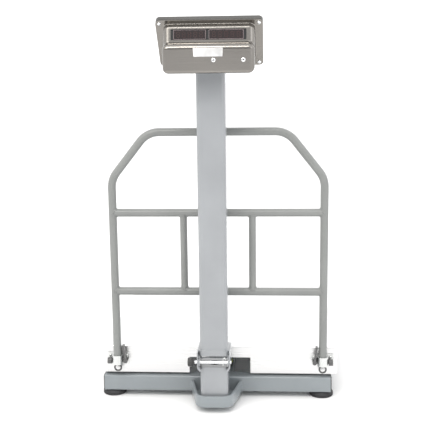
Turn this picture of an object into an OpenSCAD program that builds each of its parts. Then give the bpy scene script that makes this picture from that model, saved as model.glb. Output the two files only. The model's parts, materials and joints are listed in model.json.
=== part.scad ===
// Platform scale for weighing animals: a steel base on rubber feet, a loose sheet-steel platter on a
// single load cell, a lift-off guard rail, and an indicator head on a square post that folds back.
// Millimetres. +Z is up, the post stands towards -Y and the animal steps on from +Y.
// The origin is on the floor, at the middle of the rectangle that the scale covers.

/* [Platter] */
// Width of the platter across its rear skirt
platter_w = 600; // [590:2:610]
// Depth of the platter from rear skirt to front skirt
platter_l = 600; // [596:1:604]
// Height of the platter's top above the floor
platter_top = 132; // [131:0.5:133]
// Height of the turned-down skirt
skirt_h = 72; // [66:1:74]
// Thickness of the platter's sheet
sheet_t = 2; // [1.5:0.5:2]
// Radius of the platter's vertical corners
corner_r = 9; // [6:1:14]
// How far the loose platter and its rail rest to the right of the post
platter_shift = 8; // [0:1:8]
// Width of the notch in the rear skirt
notch_w = 156; // [120:2:170]
// Height of the notch above the skirt's lower edge
notch_h = 42; // [30:1:42]

/* [Base] */
// Length of the two cross beams
beam_len = 580; // [560:2:584]
// Outer size of the square beams and height of the spine
beam_s = 40; // [38:1:40]
// Wall of the beams and of the spine
beam_wall = 2.5; // [2:0.5:4]
// Height of the beams' underside above the floor
beam_z = 15; // [14:0.5:15]
// Distance from the rear beam's rear face to the front beam's front face
base_l = 600; // [590:2:600]
// Width of the spine that joins the beams
spine_w = 80; // [70:2:90]
// Distance of the feet from the middle, sideways
foot_x = 268; // [240:2:268]
// Distance of the feet from the beams' outer faces
foot_in = 28; // [26:1:28]
// Radius of a rubber foot
foot_r = 30; // [24:1:32]

/* [Post] */
// Outer width of the square post
post_w = 68; // [60:2:68]
// Radius of the post's corners
post_corner = 11; // [6:1:14]
// Wall of the post
post_wall = 2; // [1.5:0.5:3]
// Gap between the rear beam and the post
post_gap = 27; // [26:1:30]
// Height of the fold axis above the floor
fold_z = 130; // [128:1:132]
// Radius of the fold rod
rod_r = 4; // [3:0.5:4]
// How far the nose bracket reaches behind the rear beam
nose_reach = 107; // [105:1:112]
// Width of the nose bracket at the beam
nose_w = 130; // [128:1:140]

/* [Guard rail] */
// Radius of the rail's tube
tube_r = 10; // [9:0.5:10]
// Distance of the uprights from the rail's middle
upright_x = 261; // [250:1:262]
// Height of the top bar's centre line
rail_top = 680; // [640:5:700]
// Height where the uprights start to lean in
lean_z = 565; // [540:5:580]
// Half length of the top bar between its bends
top_half = 170; // [150:5:185]
// Height of the upper cross bar
bar_high = 481; // [450:2:500]
// Height of the lower cross bar
bar_low = 281; // [240:2:300]
// Distance of the short bars from the rail's middle
short_x = 85; // [60:1:110]

/* [Head] */
// Width of the head's flange
head_w = 242; // [236:2:250]
// Height of the head's flange along its slope
head_l = 134; // [132:1:136]
// Lean of the head's flange from upright, in degrees
head_tilt = 42; // [41:0.5:43]
// Height of the middle of the flange above the floor
head_z = 889; // [860:5:950]
// Width of the rear shell's dome
dome_w = 206; // [200:2:210]
// Wall of the rear shell and of the front tray
shell_t = 1.5; // [1.2:0.1:2]

/* [Hidden] */
$fn = 48;
run = 0.05;                                  // radial clearance of a running fit

// Plan positions
head_back = 12;                              // flange's middle, behind the post's axis
dome_back = 97;                              // dome's rearmost point, behind the post's axis
skirt_set = 13;                              // rear skirt's face, in front of the rear beam's face
rear_reach = post_gap + post_w / 2 + dome_back;
rear_y = (rear_reach - skirt_set - platter_l) / 2;   // rear face of the rear beam
post_y = rear_y - post_gap - post_w / 2;     // axis of the post
skirt_y = rear_y + skirt_set;                // rear face of the platter's skirt
mid_y = skirt_y + platter_l / 2;             // middle of the platter
front_y = rear_y + base_l;                   // front face of the front beam
rail_y = skirt_y - 16;                       // axis of the rail's tubes
rod_y = post_y - post_w / 2 - rod_r - 1;     // axis of the fold rod

// Heights of the stack from beam to platter
beam_top = beam_z + beam_s;
plate_t = 5;
pad_h = 8;
tube_h = 28;                                 // load frame's tubes
frame_top = platter_top - sheet_t - pad_h;
frame_z = frame_top - tube_h;
cell_z = beam_top + plate_t;
cell_h = frame_z - plate_t - cell_z;
cell_l = 150;
cell_w = 40;
cell_hole = 60;                              // distance of the cell's bolt pairs from its middle
frame_half = 270;                            // half length of the load frame, both ways
frame_in = 14;                               // load frame's tube, inside the skirt's rear face
frame_x = 52;                                // frame's rails, from the middle

// Feet
foot_h = 13.5;
stud_r = 5;
bush_r = 7.8;
foot_ys = [rear_y + foot_in, front_y - foot_in];

// Hinge
stub_top = fold_z - 21;
fork_t = 3;
fork_half = post_w / 2 + 3.3;                // inner face of the fork's cheeks
flare_h = 9;                                 // height over which the cheeks flare out
shoe_z = fold_z + 14;
shoe_h = 13;
lug_half = fork_half - 0.5;                  // outer face of the shoe's lugs
pin_x = 23;                                  // split pin, from the middle
pin_r = 1.3;
pin_up = 8;                                  // pin's straight leg, above and below the rod's axis
pin_bend = 3;

// Guard rail and its clamps
tube_wall = 1.5;
bend_r = 60;
leg_z = 104;                                 // lower end of the uprights
socket_z = 88.5;
socket_h = 24;
socket_r = 14;
clamp_z = 96.5;                              // axis of the clamp bolts
clamp_r = 4;
pivot_in = 20.5;                             // lever's pivot, towards the middle from the upright
pivot_r = 1.5;
lever_len = 42;
lever_lean = 7;
ring_r = 8.3;
wire_r = 2.2;

// Head
flange_t = 1.5;
gasket_t = 1.5;
tray_h = 12.5;
screw_x = head_w / 2 - 9;
screw_y = head_l / 2 - 9;
window_w = 170;
window_h = 25;
window_back = 69;                            // middle of the rear window, behind the post's axis
window_up = 17;
window_lean = 10;
floor_slope = 15;                            // slope of the dome's underside
neck_x = 40;                                 // half spacing of the four screws from post to head
neck_ys = [-38, 14];
shell_screw_xs = [12, 78];                   // screws in the dome's rear face
shell_screw_drop = 39;
shell_screw_back = 95.9;
floor_drop = 45.4;                           // underside at the post's axis, below the flange's middle
front_win = [150, 38];
front_win_y = -26;
key_size = [26, 16];
key_xs = [66, 22, -22, -66];
key_y = 34;
key_travel = 1;

// Points of an arc from angle a to angle b
function arc(c, r, a, b, n = 8) =
    [for (i = [0:n]) [c[0] + r * cos(a + (b - a) * i / n), c[1] + r * sin(a + (b - a) * i / n)]];
// Angle at which a line from p touches a circle of radius r about c, on its far right side
function touch(p, c, r) =
    atan2(p[1] - c[1], p[0] - c[0]) - acos(r / norm(p - c));
// Outline moved inwards by d; its points run clockwise
function unit(v) = v / norm(v);
function side(a, b) = let (e = unit(b - a)) [e[1], -e[0]];
function inset(p, d) = let (n = len(p))
    [for (i = [0:n - 1])
        let (m = side(p[(i + n - 1) % n], p[i]), k = side(p[i], p[(i + 1) % n]))
        p[i] + d * (m + k) / (1 + m * k)];

// ---- shared shapes ----

module slab(size, r, h) {
    linear_extrude(h) union() {
        square([size[0] - 2 * r, size[1]], center = true);
        square([size[0], size[1] - 2 * r], center = true);
        for (x = [-1, 1], y = [-1, 1])
            translate([x * (size[0] / 2 - r), y * (size[1] / 2 - r)]) circle(r);
    }
}

module along_x(r, l) { rotate([0, 90, 0]) cylinder(r = r, h = l, center = true); }

module along_y(r, l) { rotate([90, 0, 0]) cylinder(r = r, h = l, center = true); }

module hexagon(r, h) { cylinder(r = r, h = h, $fn = 6); }

module box_tube(size, wall, h) {
    difference() {
        slab(size, 4, h);
        translate([0, 0, -1]) slab([size[0] - 2 * wall, size[1] - 2 * wall], 4 - wall / 2, h + 2);
    }
}

module square_post(h) {
    difference() {
        slab([post_w, post_w], post_corner, h);
        translate([0, 0, -1])
            slab([post_w - 2 * post_wall, post_w - 2 * post_wall], post_corner - post_wall, h + 2);
    }
}

// A cable through points of one upright plane along Y, given as [y, z]
module cable(points, r) {
    sides = 10;
    n = len(points);
    rings = [for (i = [0:n - 1])
        let (d = unit(points[min(i + 1, n - 1)] - points[max(i - 1, 0)]))
        for (j = [0:sides - 1])
            let (c = r * cos(j * 360 / sides), s = r * sin(j * 360 / sides))
            [c, points[i][0] - s * d[1], points[i][1] + s * d[0]]];
    skin = [for (i = [0:n - 2], j = [0:sides - 1]) let (k = (j + 1) % sides)
        [i * sides + j, (i + 1) * sides + j, (i + 1) * sides + k, i * sides + k]];
    polyhedron(rings, concat(skin, [[for (j = [0:sides - 1]) j],
        [for (j = [sides - 1:-1:0]) (n - 1) * sides + j]]));
}

// ---- base ----

module beam(y) {
    difference() {
        translate([-beam_len / 2, y + beam_s / 2, beam_z + beam_s / 2]) rotate([0, 90, 0])
            box_tube([beam_s, beam_s], beam_wall, beam_len);
        for (x = [-1, 1]) {
            fy = y == rear_y ? foot_ys[0] : foot_ys[1];
            translate([x * foot_x, fy, beam_z - 1]) cylinder(r = stud_r + 1, h = beam_wall + 2);
            translate([x * stop_x, stop_y(y), beam_top - beam_wall - 1])
                cylinder(r = stop_r, h = beam_wall + 2);
        }
    }
}

module rear_beam() { color("slategray") beam(rear_y); }

module front_beam() { color("slategray") beam(front_y - beam_s); }

module spine() {
    color("slategray") difference() {
        translate([0, rear_y + beam_s, beam_z + beam_s / 2]) rotate([-90, 0, 0])
            box_tube([spine_w, beam_s], 3, base_l - 2 * beam_s);
        for (x = [-1, 1], y = [-1, 1])
            translate([x * 10, mid_y - cell_hole + y * 8, beam_z - 1]) {
                cylinder(r = 7.4, h = 10);
                cylinder(r = 4.2, h = beam_s + 2);
            }
    }
}

cap_plug = 8;

module beam_caps() {
    color("black") for (x = [-1, 1], y = [rear_y, front_y - beam_s])
        translate([x * beam_len / 2, y + beam_s / 2, beam_z + beam_s / 2]) rotate([0, x * 90, 0]) {
            slab([beam_s - 1, beam_s - 1], 3.5, 2);
            translate([0, 0, -cap_plug]) slab([beam_s - 6, beam_s - 6], 2, cap_plug);
        }
}

module foot_bushes() {
    color("silver") for (x = [-1, 1], y = foot_ys)
        translate([x * foot_x, y, beam_z + beam_wall]) difference() {
            hexagon(bush_r, 10);
            translate([0, 0, -1]) cylinder(r = stud_r + run, h = 12);
        }
}

module foot_pad(x, y) {
    color("black") translate([x * foot_x, y, 0]) difference() {
        union() {
            cylinder(r = foot_r, h = foot_h - 4);
            translate([0, 0, foot_h - 4]) cylinder(r1 = foot_r, r2 = foot_r - 3, h = 4, $fn = 48);
        }
        translate([0, 0, 4]) cylinder(r = stud_r, h = foot_h);
        translate([0, 0, 4]) cylinder(r = 11, h = 4);
    }
}

module foot_stud(x, y) {
    color("silver") translate([x * foot_x, y, 4]) {
        cylinder(r = 11, h = 4);
        cylinder(r = stud_r, h = 40);
    }
}

module foot_pad_rear_left() { foot_pad(-1, foot_ys[0]); }
module foot_pad_rear_right() { foot_pad(1, foot_ys[0]); }
module foot_pad_front_left() { foot_pad(-1, foot_ys[1]); }
module foot_pad_front_right() { foot_pad(1, foot_ys[1]); }
module foot_stud_rear_left() { foot_stud(-1, foot_ys[0]); }
module foot_stud_rear_right() { foot_stud(1, foot_ys[0]); }
module foot_stud_front_left() { foot_stud(-1, foot_ys[1]); }
module foot_stud_front_right() { foot_stud(1, foot_ys[1]); }

// Plan of the nose bracket's bar, moved inwards by d
nose_corner = 28;
nose_z = 16;
nose_h = 28;
bar_t = 6;
function nose_half(d) = let (c = [20, nose_corner - nose_reach], p = [nose_w / 2 - d, 0])
    concat([p], arc(c, nose_corner - d, touch(p, c, nose_corner - d), -90));
function nose_plan(d) = let (h = nose_half(d), n = len(h))
    concat(h, [for (i = [n - 1:-1:0]) [-h[i][0], h[i][1]]]);

module nose_bracket() {
    color("slategray") translate([0, rear_y, nose_z]) linear_extrude(nose_h) difference() {
        polygon(nose_plan(0));
        polygon([for (p = nose_plan(bar_t)) p[1] == 0 ? [p[0], 1] : p]);
    }
}

module nose_floor() {
    color("slategray") translate([0, rear_y, nose_z]) linear_extrude(4)
        polygon([for (p = nose_plan(bar_t + 0.2)) p[1] == 0 ? [p[0], -0.2] : p]);
}

module post_stub() {
    color("lightgray") translate([0, post_y, nose_z + 4]) difference() {
        square_post(stub_top - nose_z - 4);
        translate([0, post_w / 2, 52]) along_y(6, 10);
    }
}

// ---- hinge ----

module hinge_fork() {
    color("lightgray") difference() {
        union() {
            translate([0, post_y, stub_top]) slab([post_w + 1, post_w + 1], post_corner, 6);
            for (x = [0, 1]) mirror([x, 0, 0])
                translate([0, post_y + 31, 0]) rotate([90, 0, 0]) linear_extrude(78)
                    polygon([[post_w / 2 - 2, stub_top], [post_w / 2 + 1, stub_top],
                        [fork_half + fork_t, stub_top + flare_h], [fork_half + fork_t, shoe_z + shoe_h],
                        [fork_half, shoe_z + shoe_h], [fork_half, stub_top + flare_h],
                        [post_w / 2 - 2, stub_top + 4]]);
        }
        translate([0, rod_y, fold_z]) along_x(rod_r, 200);
        translate([0, post_y, stub_top - 1]) cylinder(r = 16, h = 20);
    }
}

rod_left = -57;
rod_right = 43;
knob_r = 11.5;

module hinge_rod() {
    color("silver") difference() {
        translate([(rod_left + rod_right) / 2, rod_y, fold_z]) along_x(rod_r, rod_right - rod_left);
        translate([pin_x, rod_y, fold_z]) cylinder(r = pin_r, h = 20, center = true);
    }
}

module split_pin() {
    color("silver") translate([pin_x, rod_y, fold_z]) {
        cylinder(r = pin_r, h = 2 * pin_up, center = true);
        translate([pin_bend, 0, pin_up]) rotate([90, 0, 0]) rotate_extrude(angle = 180)
            translate([pin_bend, 0]) circle(pin_r);
        translate([2 * pin_bend, 0, pin_up]) mirror([0, 0, 1]) cylinder(r = pin_r, h = 3);
    }
}

module hinge_knob() {
    color("black") translate([-fork_half - fork_t - 6, rod_y, fold_z]) rotate([0, -90, 0]) difference() {
        union() {
            cylinder(r = 7, h = 5);
            translate([0, 0, 5]) cylinder(r = knob_r, h = 12);
        }
        translate([0, 0, -1]) cylinder(r = rod_r + run, h = 13);
        for (i = [0:5]) rotate(i * 60) translate([knob_r + 1.5, 0, 4]) cylinder(r = 3.5, h = 20);
    }
}

// ---- weighing parts ----

module load_cell() {
    color("gainsboro") translate([0, mid_y, cell_z]) difference() {
        translate([-cell_w / 2, -cell_l / 2, 0]) cube([cell_w, cell_l, cell_h]);
        for (y = [-14, 14]) translate([0, y, cell_h / 2]) along_x(9, cell_w + 2);
        translate([-cell_w, -14, cell_h / 2 - 3]) cube([2 * cell_w, 28, 6]);
        for (x = [-1, 1], y = [-1, 1]) {
            translate([x * 10, -cell_hole + y * 8, -1]) cylinder(r = 4, h = 16);
            translate([x * 10, cell_hole + y * 8, cell_h - 15]) cylinder(r = 4, h = 16);
        }
    }
}

module cell_spacer() {
    color("dimgray") translate([0, mid_y - cell_hole, beam_top]) difference() {
        translate([-cell_w / 2, -14, 0]) cube([cell_w, 28, plate_t]);
        for (x = [-1, 1], y = [-1, 1]) translate([x * 10, y * 8, -1]) cylinder(r = 4.2, h = 8);
    }
}

module cell_bolts() {
    color("silver") for (x = [-1, 1], y = [-1, 1]) {
        translate([x * 10, mid_y - cell_hole + y * 8, beam_top - 3]) {
            cylinder(r = 4, h = plate_t + 3 + 13);
            mirror([0, 0, 1]) cylinder(r = 6.5, h = 6);
        }
        translate([x * 10, mid_y + cell_hole + y * 8, frame_z]) {
            mirror([0, 0, 1]) cylinder(r = 4, h = plate_t + 13);
            cylinder(r = 6.5, h = 6);
        }
    }
}

cable_r = 3;

module cell_cable() {
    cell_end = mid_y - cell_l / 2;
    low = beam_top + cable_r + 2;
    high = nose_z + 56;
    color("black") cable([[cell_end, cell_z + 12], [cell_end - 10, cell_z + 12], [cell_end - 24, cell_z + 8],
        [cell_end - 40, low], [rear_y + beam_s + 110, low], [rear_y + beam_s, low], [rear_y + 10, low],
        [rear_y - 8, high - 4], [rear_y - post_gap, high], [post_y + 22, high + 1],
        [post_y + 8, high + 6], [post_y, high + 18], [post_y, stub_top + 4]], cable_r);
}

stop_x = 220;
stop_r = 4;
level_x = 24;                                // clear of the cell's cable
function stop_y(y) = y == rear_y ? y + beam_s - 8 : y + 8;

module frame_cross_tubes() {
    color("slategray") for (y = [skirt_y + frame_in, skirt_y + platter_l - frame_in - tube_h])
        translate([-frame_half, y + tube_h / 2, frame_z + tube_h / 2]) rotate([0, 90, 0])
            box_tube([tube_h, tube_h], 2, 2 * frame_half);
}

module frame_rails() {
    color("slategray") for (x = [-1, 1])
        translate([x * frame_x, skirt_y + frame_in + tube_h, frame_z + tube_h / 2]) rotate([-90, 0, 0])
            box_tube([tube_h, tube_h], 2, platter_l - 2 * (frame_in + tube_h));
}

module frame_plate() {
    color("slategray") difference() {
        translate([-66, mid_y + 30, frame_z - plate_t]) cube([132, 60, plate_t]);
        for (x = [-1, 1], y = [-1, 1])
            translate([x * 10, mid_y + cell_hole + y * 8, frame_z - 8]) cylinder(r = 4.2, h = 12);
    }
}

module platter_pads() {
    color("black") for (x = [-1, 1], y = [skirt_y + frame_in, skirt_y + platter_l - frame_in - tube_h])
        translate([x * (frame_half - 16), y + tube_h / 2, frame_top])
            cylinder(r = 13, h = pad_h);
}

module overload_stops() {
    color("silver") for (x = [-1, 1], y = [rear_y, front_y - beam_s])
        translate([x * stop_x, stop_y(y), 0]) {
            translate([0, 0, beam_top - 10]) cylinder(r = stop_r, h = frame_z - beam_top + 2);
            translate([0, 0, frame_z - 8]) hexagon(7.5, 6);
            translate([0, 0, beam_top]) difference() {
                hexagon(7.5, 6.5);
                translate([0, 0, -1]) cylinder(r = stop_r, h = 9);
            }
        }
}

module bubble_level() {
    color("gold") translate([level_x, rear_y + beam_s + 70, beam_top]) {
        difference() {
            cylinder(r = 14, h = 9);
            translate([0, 0, 3]) cylinder(r = 10, h = 8);
        }
        translate([0, 0, 3]) cylinder(r = 9.8, h = 5.4);
    }
}

// ---- platter ----

module platter() {
    inside = [platter_w - 2 * sheet_t, platter_l - 2 * sheet_t];
    color("whitesmoke") translate([platter_shift, 0, platter_top - skirt_h]) difference() {
        translate([0, mid_y, 0]) slab([platter_w, platter_l], corner_r, skirt_h);
        translate([0, mid_y, -1]) slab(inside, corner_r - sheet_t, skirt_h + 1 - sheet_t);
        translate([-notch_w / 2, skirt_y - 5, -1]) cube([notch_w, 12, notch_h + 1]);
    }
}

// Calls its children once for each upright, with +X turned to the outside of the rail
module at_uprights() {
    translate([platter_shift, rail_y, 0]) for (s = [0, 1]) mirror([s, 0, 0])
        translate([upright_x, 0, 0]) children();
}

module rail_sockets() {
    color("lightgray") at_uprights() difference() {
        union() {
            translate([0, 0, socket_z]) cylinder(r = socket_r, h = socket_h);
            translate([-27, 12, socket_z - 4]) cube([54, 4, socket_h + 6]);
            translate([-7, 0, socket_z]) cube([14, 14, socket_h]);
        }
        translate([0, 0, leg_z]) cylinder(r = tube_r + run, h = 40);
        translate([0, 0, clamp_z]) along_x(clamp_r, 80);
        translate([0, 0, socket_z - 1]) cylinder(r = 2.5, h = 4);
        for (x = [-21, 21]) translate([x, 14, socket_z + 17]) along_y(2.5, 8);
    }
}

module socket_screws() {
    color("silver") at_uprights() for (x = [-21, 21]) translate([x, 12, socket_z + 17]) {
        rotate([90, 0, 0]) cylinder(r = 4.5, h = 2.5);
        rotate([-90, 0, 0]) cylinder(r = 2.5, h = 3.9);
    }
}

module clamp_bolts() {
    color("dimgray") at_uprights() translate([0, 0, clamp_z]) difference() {
        union() {
            rotate([0, 90, 0]) cylinder(r = clamp_r, h = 18);
            translate([socket_r + 1.5, 0, 0]) rotate([0, 90, 0]) cylinder(r = 8, h = 10);
            rotate([0, -90, 0]) cylinder(r = clamp_r, h = socket_r + 1);
            translate([-pivot_in, -2.5, -3.5]) cube([pivot_in - socket_r, 5, 7]);
            translate([-pivot_in, 0, 0]) along_y(3.5, 5);
        }
        translate([-pivot_in, 0, 0]) along_y(pivot_r + run, 20);
    }
}

module clamp_lever() {
    translate([-pivot_in, 0, clamp_z]) {
        difference() {
            union() {
                along_y(5.5, 13);
                rotate([0, lever_lean, 0]) translate([-2.5, -6.5, 3]) cube([5, 13, lever_len - 3]);
            }
            translate([-9, -3, -9]) cube([18, 6, 14.5]);
        }
        along_y(pivot_r, 13.4);
    }
}

module clamp_lever_left() {
    color("dimgray") translate([platter_shift, rail_y, 0]) mirror([1, 0, 0])
        translate([upright_x, 0, 0]) clamp_lever();
}

module clamp_lever_right() {
    color("dimgray") translate([platter_shift + upright_x, rail_y, 0]) clamp_lever();
}

module eye_bolts() {
    color("gray") at_uprights() {
        translate([0, 0, socket_z - ring_r - wire_r]) rotate([90, 0, 0])
            rotate_extrude() translate([ring_r, 0]) circle(wire_r);
        translate([0, 0, socket_z - wire_r - 0.6]) cylinder(r = 2.5, h = wire_r + 3.6);
    }
}

// ---- guard rail ----

lean = atan2(upright_x - top_half, rail_top - lean_z);    // lean of the slanting stretch
bend_low = bend_r * tan(lean / 2);
bend_top = bend_r * tan((90 - lean) / 2);

module bend(angle) {
    rotate([90, 0, 0]) rotate_extrude(angle = angle) translate([bend_r, 0]) circle(tube_r);
}

module guard_hoop() {
    slant = norm([upright_x - top_half, rail_top - lean_z]) - bend_low - bend_top;
    color("gray") translate([platter_shift, rail_y, 0]) {
        for (s = [0, 1]) mirror([s, 0, 0]) {
            translate([upright_x, 0, leg_z]) cylinder(r = tube_r, h = lean_z - bend_low - leg_z);
            translate([upright_x - bend_r, 0, lean_z - bend_low]) bend(lean);
            translate([upright_x - bend_low * sin(lean), 0, lean_z + bend_low * cos(lean)])
                rotate([0, -lean, 0]) {
                    cylinder(r = tube_r, h = slant);
                    translate([-bend_r, 0, slant]) bend(90 - lean);
                }
        }
        translate([0, 0, rail_top]) along_x(tube_r, 2 * (top_half - bend_top));
    }
}

module guard_bars() {
    color("gray") translate([platter_shift, rail_y, 0]) {
        for (z = [bar_low, bar_high]) difference() {
            translate([0, 0, z]) along_x(tube_r, 2 * upright_x);
            translate([0, 0, z]) along_x(tube_r - tube_wall, 2 * upright_x + 2);
            for (x = [-1, 1]) translate([x * upright_x, 0, z - 20]) cylinder(r = tube_r, h = 40);
        }
        for (x = [-1, 1]) difference() {
            translate([x * short_x, 0, bar_low]) cylinder(r = tube_r - 1, h = bar_high - bar_low);
            for (z = [bar_low, bar_high]) translate([0, 0, z]) along_x(tube_r, 2 * upright_x);
        }
    }
}

// ---- post ----

// Frame of the dome's underside, where the head stands on the post
module on_underside() {
    translate([0, post_y - 15, head_z - floor_drop - 15 * tan(floor_slope)]) rotate([floor_slope, 0, 0])
        children();
}

module post_tube() {
    color("lightgray") difference() {
        translate([0, post_y, shoe_z + shoe_h]) square_post(head_z - shoe_z - shoe_h - 20);
        on_underside() translate([-100, -100, -plate_t]) cube([200, 200, 100]);
        on_flange() translate([-100, -100, -flange_t - 0.5]) cube([200, 200, 200]);
    }
}

module hinge_shoe() {
    lug_t = 3;
    color("lightgray") difference() {
        union() {
            translate([0, post_y, shoe_z]) slab([2 * lug_half, post_w + 4], 9, shoe_h);
            for (x = [-lug_half, lug_half - lug_t]) translate([x, 0, 0]) {
                translate([0, post_y - 34, fold_z - 10]) cube([lug_t, 62, shoe_z - fold_z + 12]);
                translate([0, post_y, stub_top + flare_h + 0.5]) cube([lug_t, 28, 20]);
                translate([0, rod_y, fold_z]) rotate([0, 90, 0]) cylinder(r = 10, h = lug_t);
                translate([0, rod_y - 2, fold_z]) cube([lug_t, 12, shoe_z - fold_z + 2]);
            }
        }
        translate([0, rod_y, fold_z]) along_x(rod_r + run, 200);
        translate([0, post_y, shoe_z - 1]) cylinder(r = 16, h = shoe_h + 2);
    }
}

module head_plate() {
    color("lightgray") on_underside() difference() {
        translate([0, -8, -plate_t]) slab([96, 76], 8, plate_t);
        for (x = [-1, 1], y = neck_ys)
            translate([x * neck_x, y, -plate_t - 1]) cylinder(r = 3, h = plate_t + 2);
        translate([0, 10, -plate_t - 1]) cylinder(r = 12, h = plate_t + 2);
    }
}

module head_plate_screws() {
    color("silver") on_underside() for (x = [-1, 1], y = neck_ys)
        translate([x * neck_x, y, -plate_t]) {
            cylinder(r = 3, h = plate_t + shell_t + 7);
            mirror([0, 0, 1]) hexagon(5.5, 4);
        }
}

module post_cable() {
    top = head_z - floor_drop;
    color("black") cable([[post_y, shoe_z + 2], [post_y, top - 60], [post_y - 1, top - 40],
        [post_y - 4, top - 24], [post_y - 5, top - 10], [post_y - 5, top + 14]], cable_r);
}

module cable_gland() {
    color("black") on_underside() translate([0, 10, 0]) difference() {
        union() {
            translate([0, 0, -plate_t - 6]) cylinder(r = 9, h = plate_t + 6);
            cylinder(r = 8, h = shell_t);
            translate([0, 0, shell_t]) hexagon(11, 5);
        }
        translate([0, 0, -20]) cylinder(r = 5.6, h = 40);
    }
}

// ---- head ----

// Frame on the flange: +Z points out of the front panel, -Y up its slope
module on_flange() {
    translate([0, post_y - head_back, head_z]) rotate([head_tilt - 90, 0, 0]) children();
}

// Frame on the rear window: +Z points to the rear, +Y up
module on_window() {
    translate([0, post_y - window_back, head_z + window_up]) rotate([90 - window_lean, 0, 0]) children();
}

// Side view of the dome: distance behind the post's axis, height over the flange's middle
dome_side = [
    [head_back + 56 * sin(head_tilt), 56 * cos(head_tilt)], [64, 35], [66.5, 31], [72, 0],
    [84, -3], [92, -7], [96.5, -14], [dome_back, -20], [94, -56], [91, -64],
    [84, -floor_drop - 84 * tan(floor_slope)],
    [head_back - 52.7 * sin(head_tilt), -52.7 * cos(head_tilt)]];

module dome(d) {
    intersection() {
        translate([-dome_w / 2 + d, post_y, head_z]) rotate([90, 0, 90]) linear_extrude(dome_w - 2 * d)
            polygon([for (p = inset(dome_side, d)) [-p[0], p[1]]]);
        on_flange() translate([0, 0, -150]) slab([dome_w - 2 * d, 130 - 2 * d], 18 - d, 200);
    }
}

module head_rear_shell() {
    color("silver") difference() {
        union() {
            dome(0);
            on_flange() translate([0, 0, -flange_t]) slab([head_w, head_l], 10, flange_t);
            on_window() translate([-window_w / 2 - 4, -window_h / 2 - 5, -0.8]) cube([window_w + 8, 3, 4.3]);
        }
        dome(shell_t);
        on_flange() translate([0, 0, -flange_t - 8]) slab([dome_w - 2 * shell_t, 102], 14, 12);
        on_window() translate([0, 0, -8]) slab([window_w, window_h], 3, 20);
        on_underside() translate([0, 10, -5]) cylinder(r = 8, h = 20);
        on_underside() for (x = [-1, 1], y = neck_ys)
            translate([x * neck_x, y, -2]) cylinder(r = 3, h = 12);
        on_flange() for (x = [-1, 1], y = [-1, 1])
            translate([x * screw_x, y * screw_y, -5]) cylinder(r = 2, h = 10);
        for (x = shell_screw_xs) translate([x, post_y - 94, head_z - shell_screw_drop]) along_y(3, 20);
    }
}

module shell_screws() {
    color("silver") for (x = shell_screw_xs)
        translate([x, post_y - shell_screw_back, head_z - shell_screw_drop]) {
            rotate([90, 0, 0]) cylinder(r = 5, h = 1.3);
            rotate([-90, 0, 0]) cylinder(r = 3, h = 10);
        }
}

module flange_screws() {
    color("silver") on_flange() for (x = [-1, 1], y = [-1, 1])
        translate([x * screw_x, y * screw_y, -flange_t]) {
            mirror([0, 0, 1]) cylinder(r = 4, h = 2.2);
            cylinder(r = 2, h = flange_t + gasket_t + 7);
        }
}

module head_gasket() {
    color("black") on_flange() difference() {
        slab([head_w - 1, head_l - 1], 9.5, gasket_t);
        translate([0, 0, -1]) slab([dome_w - 2, 100], 12, gasket_t + 2);
        for (x = [-1, 1], y = [-1, 1]) translate([x * screw_x, y * screw_y, -1]) cylinder(r = 2, h = 6);
    }
}

module head_front_tray() {
    color("silver") on_flange() translate([0, 0, gasket_t]) difference() {
        union() {
            difference() {
                slab([head_w, head_l], 10, tray_h);
                translate([0, 0, -1])
                    slab([head_w - 2 * shell_t, head_l - 2 * shell_t], 10 - shell_t, tray_h + 1 - shell_t);
            }
            for (x = [-1, 1], y = [-1, 1])
                translate([x * screw_x, y * screw_y, 0]) cylinder(r = 5, h = tray_h - 1);
        }
        for (x = [-1, 1], y = [-1, 1])
            translate([x * screw_x, y * screw_y, -1]) cylinder(r = 2, h = 8);
        translate([0, front_win_y, 5]) slab(front_win, 3, 20);
        for (x = key_xs) translate([x, key_y, 5]) slab(key_size + [1, 1], 3, 20);
    }
}

module rear_window() {
    color("maroon") on_window() translate([0, 0, -3.6]) slab([window_w + 6, window_h + 2], 3, 2);
}

module rear_displays() {
    color("dimgray") on_window() for (x = [-1, 1]) translate([x * 41, 0, -11.8]) {
        translate([-36.5, -10.5, 0]) cube([73, 21, 8]);
        translate([-38, -12, -1.6]) cube([76, 24, 1.6]);
    }
}

module front_window() {
    color("darkslategray") on_flange() translate([0, front_win_y, gasket_t + tray_h - shell_t - 2])
        slab(front_win + [8, 8], 3, 2);
}

board_z = 4.5;

module front_display() {
    color("dimgray") on_flange() translate([-68, front_win_y - 15, board_z + 1.6]) cube([136, 30, 3.6]);
}

module circuit_board() {
    color("seagreen") on_flange() {
        difference() {
            translate([0, 0, board_z]) slab([head_w - 40, head_l - 14], 3, 1.6);
            translate([0, 55, board_z - 1]) slab([40, 10], 2, 4);
        }
        for (x = key_xs) translate([x - 4, key_y - 4, board_z + 1.6]) cube([8, 8, 3.4]);
    }
}

module battery() {
    color("dimgray") translate([-100, post_y - 84, head_z - 54]) cube([52, 40, 44]);
}

module key(i) {
    on_flange() {
        translate([key_xs[i], key_y, gasket_t + tray_h - shell_t - 1.2]) slab(key_size, 3, 4.4);
    }
}

module key_zero() { color("royalblue") key(0); }
module key_tare() { color("royalblue") key(1); }
module key_unit() { color("royalblue") key(2); }
module key_power() { color("firebrick") key(3); }

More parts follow.
